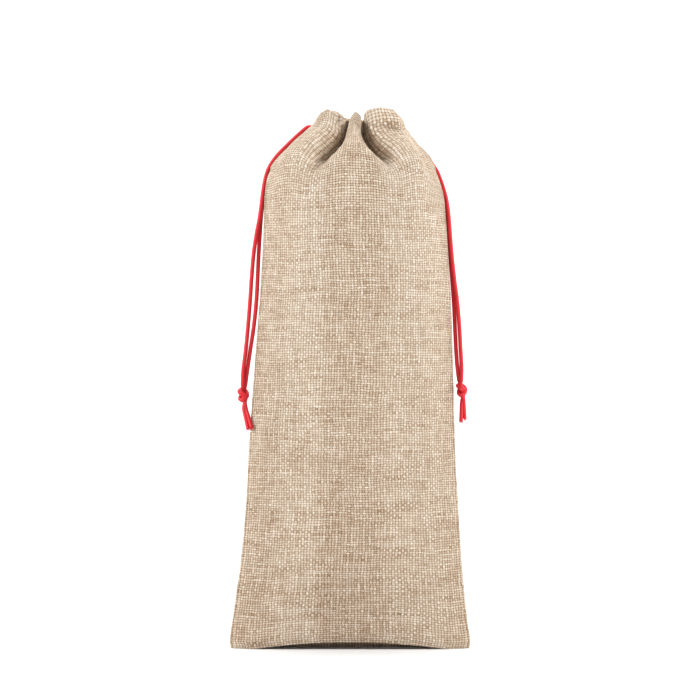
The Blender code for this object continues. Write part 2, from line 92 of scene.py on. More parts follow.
KINDS = {
    # kind: knee height, share in, share up
    "left seam": (0.2985, 0.50, 0.52),
    "right seam": (0.2870, 0.46, 0.56),
    "left side": (0.2990, 0.44, 0.56),
    "right side": (0.2900, 0.47, 0.55),
    "right turn": (0.2880, 0.46, 0.56),
    "crest": (0.3020, 0.38, 0.62),
    "edge": (0.3010, 0.48, 0.53),
    "slope": (0.2990, 0.50, 0.40),
    "valley": (0.2990, 0.62, 0.18),
}
FRONT_FOLDS = [
    # kind, from seam, neck x, y, z, puff, top x, y, z
    ("left seam", 0.000, -0.0238, 0.0020, 0.3240, 0.0000, -0.0205, 0.0030, 0.3280),
    ("left side", 0.012, -0.0235, -0.0085, 0.3240, 0.0003, -0.0198, -0.0080, 0.3287),
    ("crest", 0.024, -0.0200, -0.0175, 0.3235, 0.0005, -0.0176, -0.0160, 0.3326),
    ("crest", 0.034, -0.0135, -0.0215, 0.3230, 0.0005, -0.0122, -0.0195, 0.3342),
    ("slope", 0.042, -0.0068, -0.0205, 0.3170, 0.0010, -0.0058, -0.0190, 0.3250),
    ("valley", 0.048, -0.0012, -0.0055, 0.3120, 0.0000, -0.0015, -0.0060, 0.3290),
    ("slope", 0.054, -0.0012, -0.0110, 0.3150, 0.0000, -0.0004, -0.0090, 0.3275),
    ("edge", 0.060, -0.0028, -0.0185, 0.3185, 0.0000, -0.0001, -0.0155, 0.3276),
    ("crest", 0.067, -0.0004, -0.0222, 0.3205, 0.0000, 0.0013, -0.0188, 0.3306),
    ("crest", 0.076, 0.0032, -0.0235, 0.3215, 0.0000, 0.0037, -0.0200, 0.3326),
    ("crest", 0.085, 0.0056, -0.0220, 0.3200, 0.0000, 0.0060, -0.0186, 0.3306),
    ("edge", 0.091, 0.0068, -0.0180, 0.3175, 0.0000, 0.0072, -0.0150, 0.3276),
    ("slope", 0.096, 0.0070, -0.0120, 0.3150, 0.0000, 0.0070, -0.0100, 0.3275),
    ("valley", 0.102, 0.0088, -0.0085, 0.3120, 0.0000, 0.0085, -0.0075, 0.3290),
    ("slope", 0.108, 0.0116, -0.0160, 0.3170, 0.0010, 0.0096, -0.0160, 0.3334),
    ("crest", 0.1155, 0.0185, -0.0215, 0.3200, 0.0020, 0.0175, -0.0200, 0.3358),
    ("crest", 0.124, 0.0275, -0.0175, 0.3212, 0.0050, 0.0258, -0.0168, 0.3348),
    ("right side", 0.133, 0.0328, -0.0065, 0.3220, 0.0022, 0.0304, -0.0075, 0.3305),
    ("right turn", 0.143, 0.0372, 0.0050, 0.3214, 0.0000, 0.0298, 0.0040, 0.3252),
    ("right seam", 0.150, 0.0342, 0.0128, 0.3206, 0.0000, 0.0284, 0.0112, 0.3252),
]
BACK_FOLDS = [
    # kind, from seam, neck x, y, z, puff, top x, y, z
    ("left seam", 0.000, -0.0238, 0.0020, 0.3240, 0.0000, -0.0205, 0.0030, 0.3280),
    ("left side", 0.010, -0.0234, 0.0095, 0.3235, 0.0000, -0.0196, 0.0090, 0.3295),
    ("crest", 0.017, -0.0190, 0.0170, 0.3230, 0.0010, -0.0160, 0.0150, 0.3335),
    ("crest", 0.026, -0.0132, 0.0165, 0.3225, 0.0010, -0.0115, 0.0140, 0.3358),
    ("slope", 0.033, -0.0098, 0.0105, 0.3190, 0.0000, -0.0086, 0.0090, 0.3350),
    ("valley", 0.039, -0.0076, 0.0055, 0.3150, 0.0000, -0.0065, 0.0050, 0.3335),
    ("slope", 0.045, -0.0052, 0.0105, 0.3185, 0.0000, -0.0046, 0.0090, 0.3315),
    ("crest", 0.054, -0.0036, 0.0185, 0.3220, 0.0010, -0.0030, 0.0155, 0.3308),
    ("crest", 0.062, 0.0020, 0.0195, 0.3220, 0.0010, 0.0015, 0.0160, 0.3300),
    ("slope", 0.070, 0.0046, 0.0125, 0.3185, 0.0000, 0.0040, 0.0100, 0.3290),
    ("valley", 0.078, 0.0060, 0.0060, 0.3150, 0.0000, 0.0060, 0.0055, 0.3285),
    ("slope", 0.0845, 0.0084, 0.0115, 0.3185, 0.0000, 0.0080, 0.0095, 0.3290),
    ("crest", 0.0935, 0.0104, 0.0190, 0.3220, 0.0010, 0.0098, 0.0160, 0.3305),
    ("crest", 0.102, 0.0160, 0.0190, 0.3220, 0.0010, 0.0150, 0.0160, 0.3325),
    ("slope", 0.109, 0.0184, 0.0120, 0.3185, 0.0000, 0.0176, 0.0100, 0.3320),
    ("valley", 0.115, 0.0202, 0.0062, 0.3150, 0.0000, 0.0194, 0.0056, 0.3315),
    ("slope", 0.122, 0.0226, 0.0115, 0.3185, 0.0000, 0.0212, 0.0100, 0.3320),
    ("crest", 0.131, 0.0252, 0.0178, 0.3220, 0.0010, 0.0230, 0.0155, 0.3325),
    ("crest", 0.1405, 0.0302, 0.0170, 0.3208, 0.0005, 0.0260, 0.0147, 0.3290),
    ("right seam", 0.150, 0.0342, 0.0128, 0.3206, 0.0000, 0.0284, 0.0112, 0.3252),
]
NECK_CENTRE = Vector((0.004, 0.0, 0.0))
KNEE_LEAN = 0.04
GATHER_ROWS = 15
SLIT_ROWS = (10, 12)  # between these gather rows each side seam is open, for the cord
SLIT_REACH = {-1: (0.0030, 0.0024), 1: (0.0030, 0.0092)}  # how far, on the left and right seam

# The front's sharp folds: the edge that each is seen by, on the side of it (1 is left of
# the way along it) where the cloth sinks in behind the edge, how deep, and how wide.
CREASES = [
    # side, depth, width, the edge's points (x, z)
    (
        -1,
        0.0070,
        0.0130,
        [
            (0.0004, 0.3290),
            (0.0000, 0.3250),
            (-0.0020, 0.3181),
            (-0.0037, 0.3133),
            (-0.0060, 0.3093),
            (-0.0095, 0.3056),
            (-0.0145, 0.3026),
            (-0.0195, 0.3010),
            (-0.0235, 0.3024),
        ],
    ),
    (
        1,
        0.0055,
        0.0110,
        [
            (0.0062, 0.3290),
            (0.0060, 0.3230),
            (0.0056, 0.3170),
            (0.0068, 0.3136),
            (0.0095, 0.3102),
            (0.0130, 0.3068),
            (0.0170, 0.3038),
            (0.0220, 0.3022),
            (0.0270, 0.3034),
            (0.0303, 0.3062),
        ],
    ),
    (
        -1,
        0.0030,
        0.0050,
        [(0.0094, 0.3330), (0.0104, 0.3280), (0.0118, 0.3230), (0.0145, 0.3172), (0.0185, 0.3125)],
    ),
    (1, 0.0040, 0.0060, [(0.0360, 0.3232), (0.0300, 0.3228), (0.0240, 0.3234), (0.0170, 0.3250)]),
    (1, 0.0012, 0.0030, [(0.0225, 0.3345), (0.0250, 0.3315), (0.0270, 0.3270)]),
]
CREASE_LIP = 0.0016  # how soon the cloth drops behind an edge
CREASE_TUCK = 0.25  # the share of its depth that it also moves in under the edge
CREASE_STARTS, CREASE_GROWS, CREASE_FADES = 0.05, 0.30, 0.25  # shares of the edge's run
CREASE_STEPS = 12  # close points to each span of the edge

SEAM_ZONE = 0.012  # beside a side seam the grid is finer, to hold its puckers
SEAM_STEP, OPEN_STEP = 0.0007, 0.0010
BODY_ROW_STEP = 0.0034
GATHER_STEPS = 4  # rows of the fine grid to each gather row
EASE_FROM = 0.286  # above this height the folds are eased
EASE_TIMES, EASE_SHARE = 4, 0.5
BOTTOM_CLEARS = 0.0004  # how far off the floor the cloth under the sack hangs
BOTTOM_STEPS = 8  # from the front's lower edge to the back's
BOTTOM_SINKS_FROM, BOTTOM_SINKS_IN = 3, 2  # the step where it starts to sink, and how soon
HEM_TURN = 0.004  # how far up the hem its second layer reaches its full thickness
RIM_ROUNDNESS, RIM_STEPS = 0.45, 3  # the rim's rounding, as a share of the hem's thickness
RIM_ANGLE = math.radians(60)

# ---------------------------------------------------------------- the cords' sizes
STRANDS = {
    "left_strand_front": [
        (-0.0228, 0.0004, 0.3240),
        (-0.0262, 0.0004, 0.3242),
        (-0.0300, 0.0005, 0.3214),
        (-0.0346, 0.0004, 0.3172),
        (-0.0398, 0.0006, 0.3122),
        (-0.0446, 0.0011, 0.3074),
        (-0.0487, 0.0019, 0.3021),
        (-0.0515, 0.0023, 0.2966),
        (-0.0532, 0.0020, 0.2900),
        (-0.0543, 0.0012, 0.2830),
        (-0.0552, 0.0005, 0.2755),
        (-0.0564, 0.0000, 0.2670),
        (-0.0583, -0.0002, 0.2570),
        (-0.0600, 0.0000, 0.2450),
        (-0.0612, 0.0002, 0.2310),
        (-0.0622, 0.0002, 0.2160),
        (-0.0634, 0.0000, 0.2010),
        (-0.0648, -0.0004, 0.1860),
        (-0.0664, -0.0008, 0.1730),
        (-0.0668, -0.0013, 0.1633),
    ],
    "left_strand_back": [
        (-0.0228, 0.0032, 0.3240),
        (-0.0262, 0.0032, 0.3242),
        (-0.0300, 0.0033, 0.3214),
        (-0.0346, 0.0032, 0.3172),
        (-0.0398, 0.0034, 0.3122),
        (-0.0444, 0.0040, 0.3074),
        (-0.0483, 0.0047, 0.3021),
        (-0.0509, 0.0052, 0.2966),
        (-0.0526, 0.0049, 0.2900),
        (-0.0538, 0.0041, 0.2830),
        (-0.0547, 0.0033, 0.2755),
        (-0.0555, 0.0028, 0.2670),
        (-0.0562, 0.0024, 0.2570),
        (-0.0569, 0.0019, 0.2450),
        (-0.0575, 0.0016, 0.2310),
        (-0.0583, 0.0014, 0.2160),
        (-0.0598, 0.0012, 0.2010),
        (-0.0620, 0.0009, 0.1860),
        (-0.0639, 0.0005, 0.1730),
        (-0.0652, 0.0010, 0.1633),
    ],
    "right_strand_front": [
        (0.0332, 0.0109, 0.3196),
        (0.0344, 0.0117, 0.3209),
        (0.0360, 0.0140, 0.3206),
        (0.0370, 0.0161, 0.3188),
        (0.0390, 0.0173, 0.3162),
        (0.0427, 0.0173, 0.3126),
        (0.0461, 0.0163, 0.3096),
        (0.0491, 0.0150, 0.3060),
        (0.0511, 0.0141, 0.3026),
        (0.0526, 0.0130, 0.3002),
        (0.0547, 0.0114, 0.2965),
        (0.0564, 0.0096, 0.2923),
        (0.0578, 0.0069, 0.2880),
        (0.0592, 0.0044, 0.2830),
        (0.0603, 0.0022, 0.2782),
        (0.0610, 0.0009, 0.2732),
        (0.0616, 0.0000, 0.2670),
        (0.0624, 0.0000, 0.2560),
        (0.0634, 0.0000, 0.2440),
        (0.0649, 0.0000, 0.2300),
        (0.0667, -0.0002, 0.2160),
        (0.0680, -0.0004, 0.2010),
        (0.0688, -0.0006, 0.1860),
        (0.0694, -0.0008, 0.1750),
        (0.0692, -0.0013, 0.1664),
    ],
    "right_strand_back": [
        (0.0317, 0.0132, 0.3200),
        (0.0331, 0.0140, 0.3220),
        (0.0344, 0.0162, 0.3218),
        (0.0350, 0.0181, 0.3192),
        (0.0367, 0.0192, 0.3160),
        (0.0402, 0.0196, 0.3124),
        (0.0433, 0.0191, 0.3095),
        (0.0468, 0.0178, 0.3058),
        (0.0489, 0.0173, 0.3024),
        (0.0508, 0.0162, 0.3000),
        (0.0530, 0.0142, 0.2965),
        (0.0548, 0.0126, 0.2923),
        (0.0569, 0.0102, 0.2880),
        (0.0584, 0.0076, 0.2830),
        (0.0596, 0.0052, 0.2782),
        (0.0604, 0.0038, 0.2732),
        (0.0610, 0.0029, 0.2670),
        (0.0618, 0.0028, 0.2560),
        (0.0626, 0.0027, 0.2440),
        (0.0636, 0.0025, 0.2300),
        (0.0646, 0.0020, 0.2160),
        (0.0653, 0.0016, 0.2010),
        (0.0660, 0.0010, 0.1860),
        (0.0668, 0.0006, 0.1750),
        (0.0679, 0.0012, 0.1664),
    ],
}
STRAND_STEP = 0.0004  # between two rings of a strand's tube
CORD_SIDES = 20
ROUTE_STEPS, TIE_STEPS = 16, 8  # close points to each span of a route, and of a tied strand
KNOT_ROUTE = [
    (0.0000, 0.0006, 0.0030),
    (-0.0002, 0.0012, 0.0018),
    (-0.0011, 0.0011, -0.0006),
    (-0.0021, 0.0001, -0.0028),
    (-0.0011, -0.0017, -0.0036),
    (0.0011, -0.0019, -0.0021),
    (0.0024, -0.0004, -0.0002),
    (0.0018, 0.0017, 0.0016),
    (-0.0008, 0.0021, 0.0031),
    (-0.0025, 0.0002, 0.0028),
    (-0.0017, -0.0019, 0.0012),
    (0.0004, -0.0017, -0.0006),
    (0.0011, 0.0000, -0.0026),
    (0.0008, 0.0004, -0.0044),
]
KNOTS = [
    # name, the CAD node, the strands that it ties, its middle, its turn, the tails' ends
    (
        "left_knot_tied",
        "left_knot",
        ("left_strand_front", "left_strand_back"),
        (-0.0662, -0.0006, 0.1577),
        0.0,
        ((-0.0634, -0.0050, 0.1368), (-0.0611, -0.0062, 0.1374)),
    ),
    (
        "right_knot_tied",
        "right_knot",
        ("right_strand_front", "right_strand_back"),
        (0.0696, -0.0006, 0.1609),
        0.4,
        ((0.0690, -0.0022, 0.1412), (0.0714, -0.0008, 0.1428)),
    ),
]
KNOT_STRAND_RADIUS = 0.00112  # the strands are pulled thin where they are tied
KNOT_STRANDS_APART = 0.0013
KNOT_ROUNDS = 3  # one in so many points of a strand's way is kept, which rounds its turns
KNOT_ENDS_AT = (0.50, 0.55)  # the share of each strand's way at which it leaves the knot
KNOT_WIDENS = 5  # how fast it comes back to its own thickness there
TAIL_THICKNESS = 0.96  # of the cord's own, for each tail
TAIL_DROP = Vector((0, 0, -0.0040))  # how a tail leaves the knot, before it turns to its end
BRAID_PICK = 1.3  # mm along the cord from one crossing of its yarns to the next
BRAID_YARNS = 6  # yarns that go round each way
BRAID_RELIEF = 0.00007
FRAY_YARNS = 15  # loose yarns at the end of each tail
FRAY_RADIUS, FRAY_SIDES, FRAY_STEPS = 0.00014, 6, 4
FRAY_TAPER = 1.4  # how much thicker a loose yarn is at its root
FRAY_LENGTHS = (0.0010, 0.0026)
FRAY_SPREADS = (0.0004, 0.0016)  # how far its tip leans out
FRAY_ROOT, FRAY_FILLS = 0.0006, 0.8  # how deep it starts in the tail, and how far out
FRAY_BEND_ON, FRAY_BEND_IN = 0.0003, 0.0002  # where the middle of its bend is pushed


# ================================================================ curves
def mix(a, b, share):
    return a + (b - a) * share


def smooth(share):
    share = min(1.0, max(0.0, share))
    return share * share * (3 - 2 * share)


def hill(value, middle, half_width):
    """1 at the middle, falling softly to 0 at half_width on either side."""
    return smooth(1 - abs(value - middle) / half_width)


def spline(before, a, b, after, share):
    """A point between a and b on a smooth curve that runs through all four."""
    square, cube = share * share, share**3
    return 0.5 * (
        2 * a
        + (b - before) * share
        + (2 * before - 5 * a + 4 * b - after) * square
        + (3 * a - before - 3 * b + after) * cube
    )


def soft_spline(before, a, b, after, share):
    """A point near a and b on a softer curve, which rounds every corner."""
    square, cube = share * share, share**3
    return (
        before * (1 - 3 * share + 3 * square - cube)
        + a * (4 - 6 * square + 3 * cube)
        + b * (1 + 3 * share + 3 * square - 3 * cube)
        + after * cube
    ) / 6


def through(points, steps):
    """Points on the smooth curve through these, steps to each span."""
    ends = [2 * points[0] - points[1], *points, 2 * points[-1] - points[-2]]
    made = [points[0]]
    for i in range(len(points) - 1):
        made += [spline(*ends[i : i + 4], (k + 1) / steps) for k in range(steps)]
    return made


def evenly(fine, spacing):
    """These points taken again, evenly spaced along their run."""
    lengths = [0.0]
    for a, b in zip(fine, fine[1:]):
        lengths.append(lengths[-1] + (b - a).length)
    count = max(2, round(lengths[-1] / spacing))
    places, i = [fine[0]], 1
    for step in range(1, count):
        target = lengths[-1] * step / count
        while lengths[i] < target:
            i += 1
        share = (target - lengths[i - 1]) / (lengths[i] - lengths[i - 1])
        places.append(fine[i - 1].lerp(fine[i], share))
    return [*places, fine[-1]]


def route(points, spacing):
    return evenly(through([Vector(point) for point in points], ROUTE_STEPS), spacing)


# ================================================================ the cloth's form
def arch(x):
    """How far the bottom fold is off the floor at x."""
    return ARCH_RISE * max(0.0, 1 - (x / ARCH_HALF_SPAN) ** 2)


def lens(across, power):
    return (1 - abs(across) ** power) ** SECTION_ROUNDNESS


def belly_depth(half_width):
    """How deep the belly is where the whole panel spans this half width."""
    low, high = 0.0, PANEL_WIDTH / 2
    places = [-math.cos(math.pi * i / BELLY_STEPS) for i in range(BELLY_STEPS + 1)]
    for _ in range(BELLY_TRIES):
        depth, length = (low + high) / 2, 0.0
        for a, b in zip(places, places[1:]):
            rise = depth * (lens(b, LENS_POWER) - lens(a, LENS_POWER))
            length += math.hypot(half_width * (b - a), rise)
        low, high = (low, depth) if length > PANEL_WIDTH else (depth, high)
    return depth


def section(row, side, stations):
    """Where the panel's stations, counted from the left seam, lie at one height. side is -1
    for the front panel and 1 for the back."""
    height, left, right = row
    middle, half = (left + right) / 2, (right - left) / 2
    foot = 1 - smooth(height / FOOT_FADES_BY)
    edge = FOOT_EDGE * max(0.0, 1 - height / (2 * FOOT_EDGE)) ** 2
    joined = belly_depth(half) ** DEPTHS_JOIN + foot * FOOT_HALF_DEPTH**DEPTHS_JOIN
    depth = joined ** (1 / DEPTHS_JOIN) - edge
    power = mix(LENS_POWER, BOAT_POWER, foot)
    places, lengths = [], [0.0]
    for i in range(SECTION_STEPS + 1):
        across = -math.cos(math.pi * i / SECTION_STEPS)
        place = Vector((middle + half * across, side * depth * lens(across, power), height))
        if places:
            lengths.append(lengths[-1] + (place - places[-1]).length)
        places.append(place)
    found, i = [], 1
    for station in stations:
        target = station / PANEL_WIDTH * lengths[-1]
        while i < SECTION_STEPS and lengths[i] < target:
            i += 1
        step = (target - lengths[i - 1]) / (lengths[i] - lengths[i - 1])
        place = places[i - 1].lerp(places[i], step)
        place.z += arch(place.x) * (1 - smooth(height / ARCH_FADES_BY))
        found.append(place)
    return found


def gather(body, knee_z, share_in, share_up, neck, puff, top):
    """The rows above the belly on one column: up to the knee, in to the neck, and up through
    the puffed hem to the top edge."""
    knee = body[-1].lerp(neck, KNEE_LEAN)
    knee.z = knee_z
    shoulder = knee.lerp(neck, share_in)
    shoulder.z = mix(knee_z, neck.z, share_up)
    outwards = (neck - NECK_CENTRE) * Vector((1, 1, 0))
    hem = neck.lerp(top, 0.5) + outwards.normalized() * puff
    path = [*body, knee, shoulder, neck, hem, top, 2 * top - hem]
    spans = len(path) - 3
    rows = []
    for row in range(1, GATHER_ROWS + 1):
        along = spans * row / GATHER_ROWS
        i = min(int(along), spans - 1)
        rows.append(soft_spline(*path[i : i + 4], along - i))
    return rows


def panel_stations():
    """Where the fine grid's columns lie on the flat panel, from the left seam to the right."""
    beside = round(SEAM_ZONE / SEAM_STEP)
    between = round((PANEL_WIDTH - 2 * SEAM_ZONE) / OPEN_STEP)
    left = [SEAM_ZONE * i / beside for i in range(beside)]
    middle = [mix(SEAM_ZONE, PANEL_WIDTH - SEAM_ZONE, i / between) for i in range(between)]
    right = [PANEL_WIDTH - station for station in reversed(left)]
    return [*left, *middle, PANEL_WIDTH - SEAM_ZONE, *right]


def row_steps():
    """How many fine rows each span of the outline gets."""
    spans = zip(OUTLINE, OUTLINE[1:])
    return [max(1, round((above[0] - below[0]) / BODY_ROW_STEP)) for below, above in spans]


def fold_rows(folds, sign=1, shift=0.0):
    """The rows of a fold table with their points as vectors, each fold sign times as far from
    the seam, and shift further on."""
    rows = []
    for kind, seam, *sizes in folds:
        neck, puff, top = Vector(sizes[:3]), sizes[3], Vector(sizes[4:])
        rows.append((kind, shift + sign * seam, neck, puff, top))
    return rows


def panel_columns(folds, side, stations, turned):
    """Each column of one panel, from the foot to the top edge, as smooth fine rows. turned
    has the other panel's folds beside each seam, which its curves run on into."""
    before, after = fold_rows(turned[1:2], -1), fold_rows(turned[-2:-1], -1, 2 * PANEL_WIDTH)
    ring = before + fold_rows(folds) + after
    sections = [section(row, side, stations) for row in OUTLINE]
    steps = row_steps()
    made = []
    for k, station in enumerate(stations):
        i = next(i for i in range(2, len(ring)) if station <= ring[i][1] + 1e-9)
        span = ring[i - 2 : i + 2]
        share = (station - span[1][1]) / (span[2][1] - span[1][1])
        knees = [mix(a, b, share) for a, b in zip(KINDS[span[1][0]], KINDS[span[2][0]])]
        neck, top = (spline(*(row[place] for row in span), share) for place in (2, 4))
        puff = mix(span[1][3], span[2][3], share)
        body = [places[k] for places in sections]
        coarse = body[:-1] + gather(body[-3:], *knees, neck, puff, top)
        ends = [2 * coarse[0] - coarse[1], *coarse, 2 * coarse[-1] - coarse[-2]]
        fine = [coarse[0]]
        for j in range(len(coarse) - 1):
            count = steps[j] if j < len(OUTLINE) - 2 else GATHER_STEPS
            fine += [spline(*ends[j : j + 4], (n + 1) / count) for n in range(count)]
        made.append(fine)
    return made


def rows_before(coarse_row):
    """How many fine rows lie below this coarse row of a column."""
    body = len(OUTLINE) - 2
    return sum(row_steps()[: min(coarse_row, body)]) + GATHER_STEPS * max(0, coarse_row - body)


# ================================================================ the cloth's relief
SEAM_DITCH = 0.0026  # the sewn line lies this far inside the front panel, from either edge
DITCH_DEPTH, DITCH_HALF_WIDTH = 0.0010, 0.0017
PULL_LEAST, PULL_VARIES = 0.75, 0.5  # how hard the stitches pull, and how much that changes
PULL_UP, PULL_ACROSS = 160, 9  # how fine that change is up the seam and across it
RIDGE_FROM_DITCH = 0.0024  # the cloth's edge stands up this far from the sewn line
RIDGE_RISE, RIDGE_HALF_WIDTH = 0.0003, 0.0022
SEAM_ENDS, SEAM_FADES = 0.298, 0.004  # the height at which the ditch ends, and how soon
UNEVEN = ((0.0007, 22), (0.0004, 55))  # the rise of a filled sack's bumps, and how fine they are
UNEVEN_FADES = 0.02  # within this distance of the seams and the floor
PUCKER_RISE, PUCKER_UP, PUCKER_ACROSS = 0.0006, 115, 18
PUCKER_FROM_EDGE, PUCKER_HALF_WIDTH, PUCKER_FADES = 0.006, 0.009, 0.012
HEM_RISE, HEM_STEP = 0.0004, 0.0016  # where the hem's second layer begins
HEM_DITCH, HEM_DITCH_HALF_WIDTH = 0.0006, 0.0022  # the sewn line lies this far below that
PLEAT_RISE, PLEAT_UP, PLEAT_ACROSS = 0.0007, 14, 260
PLEAT_FROM, PLEAT_GROWS, PLEAT_FADES = 0.292, 0.022, 0.008
UNEVEN_SEED, PULL_SEED, PUCKER_SEED, PLEAT_SEED = 0.3, 3.1, 4.2, 7.7


def relief(u, v, z, side):
    """How far the cloth stands out of its smooth form, at u along the panel and v up it:
    the seams' ditches and puckers, the hem's step, and the small unevenness of a filled sack."""
    from_edge = min(u, PANEL_WIDTH - u)
    place = Vector((u, v, side * UNEVEN_SEED))
    out = sum(rise * noise.noise(place * fineness) for rise, fineness in UNEVEN)
    out *= smooth(from_edge / UNEVEN_FADES) * smooth(z / UNEVEN_FADES)
    # the sewn side seams pull the cloth in, unevenly, and its edge stands up beside them
    if side < 0:
        below_hem = 1 - smooth((z - SEAM_ENDS) / SEAM_FADES)
        pull = noise.noise(Vector((v * PULL_UP, side * PULL_SEED, u * PULL_ACROSS)))
        pull = PULL_LEAST + PULL_VARIES * pull
        out -= DITCH_DEPTH * pull * below_hem * hill(from_edge, SEAM_DITCH, DITCH_HALF_WIDTH)
        ridge = SEAM_DITCH + RIDGE_FROM_DITCH
        out += RIDGE_RISE * below_hem * hill(from_edge, ridge, RIDGE_HALF_WIDTH)
    pucker = noise.noise(Vector((v * PUCKER_UP, u * PUCKER_ACROSS, PUCKER_SEED + side)))
    beside_seam = hill(from_edge, PUCKER_FROM_EDGE, PUCKER_HALF_WIDTH)
    out += PUCKER_RISE * pucker * beside_seam * smooth(z / PUCKER_FADES)
    # the hem's second layer begins with a small step
    out += HEM_RISE * smooth((z - HEM_FROM) / HEM_STEP)
    out -= HEM_RISE * hill(z, HEM_FROM - HEM_DITCH, HEM_DITCH_HALF_WIDTH)
    # fine pleats run down from the drawn neck
    pleat = noise.noise(Vector((u * PLEAT_ACROSS, v * PLEAT_UP, side * PLEAT_SEED)))
    in_gather = smooth((z - PLEAT_FROM) / PLEAT_GROWS)
    return out + PLEAT_RISE * pleat * in_gather * smooth(from_edge / PLEAT_FADES)


def crease(place, creases):
    """Where this place of the front panel goes once the sharp folds are pressed in."""
    moved = place.copy()
    for side, depth, width, run in creases:
        offs = [(place.x - x, place.z - z) for x, z in run]
        nearest = min(range(len(run)), key=lambda i: math.hypot(*offs[i]))
        a, b = run[max(nearest - 1, 0)], run[min(nearest + 1, len(run) - 1)]
        long = math.hypot(b[0] - a[0], b[1] - a[1])
        out_x, out_z = -side * (b[1] - a[1]) / long, side * (b[0] - a[0]) / long
        off_x, off_z = offs[nearest]
        behind = off_x * out_x + off_z * out_z
        if not 0 < behind < width or math.hypot(off_x, off_z) > width:
            continue
        along = nearest / (len(run) - 1)
        ends = smooth((along - CREASE_STARTS) / CREASE_GROWS) * smooth((1 - along) / CREASE_FADES)
        sink = smooth(behind / CREASE_LIP) * (1 - smooth(behind / width)) * ends
        moved.y += depth * sink
        tuck = CREASE_TUCK * depth * sink
        moved.x -= out_x * tuck
        moved.z -= out_z * tuck
    return moved


def crease_runs():
    """The creases' edges as close points, for crease()."""
    runs = []
    for side, depth, width, points in CREASES:
        fine = through([Vector((x, 0, z)) for x, z in points], CREASE_STEPS)
        runs.append((side, depth, width, [(place.x, place.z) for place in fine]))
    return runs


def sack_grid():
    """The fine grid of one side of the cloth: for each panel, columns of points."""
    stations = panel_stations()
    creases = crease_runs()
    front = panel_columns(FRONT_FOLDS, -1, stations, BACK_FOLDS)
    low = rows_before(len(OUTLINE) - 2)
    for column in front:
        column[low:] = [crease(place, creases) for place in column[low:]]
    back = panel_columns(BACK_FOLDS, 1, stations, FRONT_FOLDS)
    return stations, front, back


def into_scene(name, data):
    made = bpy.data.objects.new(name, data)
    bpy.context.scene.collection.objects.link(made)
    return made


def object_from(name, shape, finish):
    """A smooth mesh object in the scene, of this shape and finish."""
    mesh = bpy.data.meshes.new(name)
    shape.to_mesh(mesh)
    shape.free()
    mesh.materials.append(finish)
    mesh.shade_smooth()
    return into_scene(name, mesh)


def cloth_skin(finish):
    """The whole cloth: both panels and the bottom fold as one skin without thickness, with
    the threads' own map in real millimetres."""
    stations, front, back = sack_grid()
    across, up = len(stations), len(front[0])
    heights = [0.0]
    for row in range(1, up):
        steps = [(column[row] - column[row - 1]).length for column in front]
        heights.append(heights[-1] + sum(steps) / across)
    shape = bmesh.new()
    threads = shape.loops.layers.uv.new("threads")
    grid = {-1: [], 1: []}
    for side, columns in ((-1, front), (1, back)):
        for k, column in enumerate(columns):
            shared = side == 1 and k in (0, across - 1)
            points = grid[-1][k] if shared else [shape.verts.new(place) for place in column]
            grid[side].append(points)
    slit = range(*(rows_before(len(OUTLINE) - 2 + row) for row in SLIT_ROWS))
    flat = {}
    for side, (reach_left, reach_right) in SLIT_REACH.items():
        for k in range(across - 1):
            at_slit = stations[k] < reach_left or PANEL_WIDTH - stations[k + 1] < reach_right
            for row in range(up - 1):
                if at_slit and row in slit:
                    continue
                corners = [(k, row), (k + 1, row), (k + 1, row + 1), (k, row + 1)]
                if side == 1:
                    corners.reverse()
                face = shape.faces.new([grid[side][i][j] for i, j in corners])
                for loop, (i, j) in zip(face.loops, corners):
                    u = stations[i] if side < 0 else 2 * PANEL_WIDTH - stations[i]
                    loop[threads].uv = (u / MM, heights[j] / MM)
                    flat[loop.vert] = (stations[i], heights[j], side)
    add_bottom(shape, grid, stations, threads)
    loose = [vertex for vertex in shape.verts if not vertex.link_faces]
    bmesh.ops.delete(shape, geom=loose, context="VERTS")
    folded = [vertex for vertex in shape.verts if vertex.co.z > EASE_FROM]
    all_ways = {"use_axis_x": True, "use_axis_y": True, "use_axis_z": True}
    for _ in range(EASE_TIMES):
        bmesh.ops.smooth_vert(shape, verts=folded, factor=EASE_SHARE, **all_ways)
    shape.normal_update()
    moves = {}
    for vertex, (u, v, side) in flat.items():
        if vertex.is_valid:
            moves[vertex] = vertex.normal * relief(u, v, vertex.co.z, side)
    for vertex, move in moves.items():
        vertex.co += move
    return object_from("burlap_sack", shape, finish)


def add_bottom(shape, grid, stations, threads):
    """The strip of cloth under the sack, from the front's lower edge to the back's. Behind
    the front's edge it sinks towards the floor, so that no light shows under the sack."""
    strips = []
    for k in range(len(stations)):
        a, b = grid[-1][k][0], grid[1][k][0]
        if a is b:
            strips.append([a] * (BOTTOM_STEPS + 1))
            continue
        strip = [a]
        for step in range(1, BOTTOM_STEPS):
            place = a.co.lerp(b.co, step / BOTTOM_STEPS)
            sunk = smooth((step - BOTTOM_SINKS_FROM) / BOTTOM_SINKS_IN)
            sunk *= smooth((BOTTOM_STEPS - step) / BOTTOM_SINKS_IN)
            place.z = mix(place.z, min(place.z, BOTTOM_CLEARS), sunk)
            strip.append(shape.verts.new(place))
        strips.append([*strip, b])
    for k in range(len(stations) - 1):
        for step in range(BOTTOM_STEPS):
            corners = [(k + 1, step), (k, step), (k, step + 1), (k + 1, step + 1)]
            points = list(dict.fromkeys(strips[i][j] for i, j in corners))
            if len(points) < 3:
                continue
            face = shape.faces.new(points)
            for loop in face.loops:
                i, j = next(c for c in corners if strips[c[0]][c[1]] is loop.vert)
                down = (strips[i][0].co - loop.vert.co).length
                loop[threads].uv = (stations[i] / MM, -down / MM)


